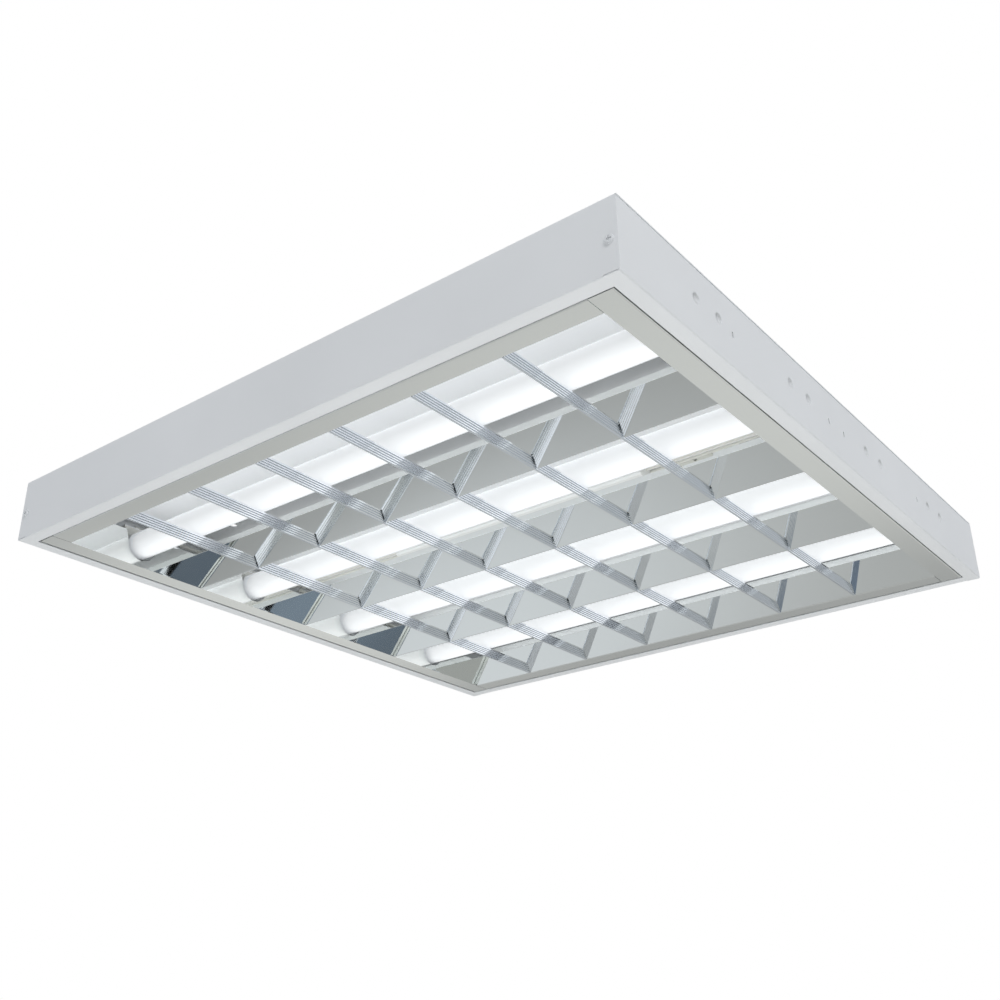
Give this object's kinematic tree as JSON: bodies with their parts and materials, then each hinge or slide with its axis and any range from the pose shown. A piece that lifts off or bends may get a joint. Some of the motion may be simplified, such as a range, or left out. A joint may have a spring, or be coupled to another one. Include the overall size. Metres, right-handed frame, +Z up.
{
  "type": "troffer light",
  "caption": "Square recessed ceiling light: white steel tray, tubular lamps in turning lampholders, and a hinged mirror louvre with V reflectors and ribbed cross blades.",
  "frame": {"origin": "middle of the square rim's lower face", "axes": "+Z up through the tray's top, X along the lamps, +Y towards the louvre's hinges"},
  "size_m": [0.62, 0.6232, 0.058],
  "materials": {
    "body_white": "satin white powder coat",
    "louvre_mirror": "bright anodised aluminium sheet",
    "louvre_ribbed": "ribbed anodised aluminium",
    "lamp_glass": "phosphor-coated glass, opaque white",
    "cap_metal": "plain",
    "holder_plastic": "moulded",
    "rotor_plastic": "moulded",
    "bracket_steel": "zinc-plated sheet",
    "spring_steel": "spring steel",
    "screw_steel": "zinc-plated",
    "ballast_case": "plain coated case",
    "terminal_plastic": "moulded",
    "grommet_rubber": "moulded",
    "earth_insulation": "insulation",
    "wire_insulation": "insulation"
  },
  "bodies": {
    "housing": {"tray_pan": "body_white", "end_wall_near": "body_white", "end_wall_far": "body_white", "corner_screws": "screw_steel", "lampholder_brackets_near": "bracket_steel", "lampholder_brackets_far": "bracket_steel", "lampholder_1_near": "holder_plastic", "lampholder_1_far": "holder_plastic", "lampholder_2_near": "holder_plastic", "lampholder_2_far": "holder_plastic", "lampholder_3_near": "holder_plastic", "lampholder_3_far": "holder_plastic", "lampholder_4_near": "holder_plastic", "lampholder_4_far": "holder_plastic", "louvre_hinge_clips": "spring_steel", "louvre_catches": "spring_steel", "ballast": "ballast_case", "ballast_screws": "screw_steel", "earth_screw": "screw_steel", "terminal_block": "terminal_plastic", "cable_grommet": "grommet_rubber", "earth_wire": "earth_insulation", "mains_wires": "wire_insulation", "lamp_wires_near": "wire_insulation", "lamp_wires_far": "wire_insulation"},
    "lamp_1": {"lamp_1_tube": "lamp_glass", "lamp_1_caps": "cap_metal"},
    "rotor_1_near": {"rotor_1_near": "rotor_plastic"},
    "rotor_1_far": {"rotor_1_far": "rotor_plastic"},
    "lamp_2": {"lamp_2_tube": "lamp_glass", "lamp_2_caps": "cap_metal"},
    "rotor_2_near": {"rotor_2_near": "rotor_plastic"},
    "rotor_2_far": {"rotor_2_far": "rotor_plastic"},
    "lamp_3": {"lamp_3_tube": "lamp_glass", "lamp_3_caps": "cap_metal"},
    "rotor_3_near": {"rotor_3_near": "rotor_plastic"},
    "rotor_3_far": {"rotor_3_far": "rotor_plastic"},
    "lamp_4": {"lamp_4_tube": "lamp_glass", "lamp_4_caps": "cap_metal"},
    "rotor_4_near": {"rotor_4_near": "rotor_plastic"},
    "rotor_4_far": {"rotor_4_far": "rotor_plastic"},
    "louvre": {"louvre_end_strip_near": "louvre_mirror", "louvre_end_strip_far": "louvre_mirror", "louvre_end_plates_near": "louvre_mirror", "louvre_end_plates_far": "louvre_mirror", "louvre_hinge_strip": "louvre_mirror", "louvre_catch_strip": "louvre_mirror", "louvre_reflector_1": "louvre_mirror", "louvre_reflector_2": "louvre_mirror", "louvre_reflector_3": "louvre_mirror", "louvre_blade_1": "louvre_ribbed", "louvre_blade_2": "louvre_ribbed", "louvre_blade_3": "louvre_ribbed", "louvre_blade_4": "louvre_ribbed", "louvre_blade_5": "louvre_ribbed", "louvre_blade_6": "louvre_ribbed"}
  },
  "joints": [
    {"name": "louvre_swing", "type": "hinge", "parent": "housing", "child": "louvre", "pos_m": [0, 0.29435, 0.00275], "axis": [1, 0, 0], "range_deg": [0, 90]},
    {"name": "lamp_1_turn", "type": "hinge", "parent": "housing", "child": "lamp_1", "pos_m": [0, -0.20325, 0.0245], "axis": [1, 0, 0], "range_deg": [0, 90]},
    {"name": "rotor_1_near_turn", "type": "hinge", "parent": "housing", "child": "rotor_1_near", "pos_m": [0.2997, -0.20325, 0.0245], "axis": [1, 0, 0], "range_deg": [0, 90]},
    {"name": "rotor_1_far_turn", "type": "hinge", "parent": "housing", "child": "rotor_1_far", "pos_m": [-0.2997, -0.20325, 0.0245], "axis": [1, 0, 0], "range_deg": [0, 90]},
    {"name": "lamp_2_turn", "type": "hinge", "parent": "housing", "child": "lamp_2", "pos_m": [0, -0.06775, 0.0245], "axis": [1, 0, 0], "range_deg": [0, 90]},
    {"name": "rotor_2_near_turn", "type": "hinge", "parent": "housing", "child": "rotor_2_near", "pos_m": [0.2997, -0.06775, 0.0245], "axis": [1, 0, 0], "range_deg": [0, 90]},
    {"name": "rotor_2_far_turn", "type": "hinge", "parent": "housing", "child": "rotor_2_far", "pos_m": [-0.2997, -0.06775, 0.0245], "axis": [1, 0, 0], "range_deg": [0, 90]},
    {"name": "lamp_3_turn", "type": "hinge", "parent": "housing", "child": "lamp_3", "pos_m": [0, 0.06775, 0.0245], "axis": [1, 0, 0], "range_deg": [0, 90]},
    {"name": "rotor_3_near_turn", "type": "hinge", "parent": "housing", "child": "rotor_3_near", "pos_m": [0.2997, 0.06775, 0.0245], "axis": [1, 0, 0], "range_deg": [0, 90]},
    {"name": "rotor_3_far_turn", "type": "hinge", "parent": "housing", "child": "rotor_3_far", "pos_m": [-0.2997, 0.06775, 0.0245], "axis": [1, 0, 0], "range_deg": [0, 90]},
    {"name": "lamp_4_turn", "type": "hinge", "parent": "housing", "child": "lamp_4", "pos_m": [0, 0.20325, 0.0245], "axis": [1, 0, 0], "range_deg": [0, 90]},
    {"name": "rotor_4_near_turn", "type": "hinge", "parent": "housing", "child": "rotor_4_near", "pos_m": [0.2997, 0.20325, 0.0245], "axis": [1, 0, 0], "range_deg": [0, 90]},
    {"name": "rotor_4_far_turn", "type": "hinge", "parent": "housing", "child": "rotor_4_far", "pos_m": [-0.2997, 0.20325, 0.0245], "axis": [1, 0, 0], "range_deg": [0, 90]}
  ],
  "couplings": [
    {"joint": "rotor_1_near_turn", "follows": "lamp_1_turn", "ratio": 1},
    {"joint": "rotor_1_far_turn", "follows": "lamp_1_turn", "ratio": 1},
    {"joint": "rotor_2_near_turn", "follows": "lamp_2_turn", "ratio": 1},
    {"joint": "rotor_2_far_turn", "follows": "lamp_2_turn", "ratio": 1},
    {"joint": "rotor_3_near_turn", "follows": "lamp_3_turn", "ratio": 1},
    {"joint": "rotor_3_far_turn", "follows": "lamp_3_turn", "ratio": 1},
    {"joint": "rotor_4_near_turn", "follows": "lamp_4_turn", "ratio": 1},
    {"joint": "rotor_4_far_turn", "follows": "lamp_4_turn", "ratio": 1}
  ]
}
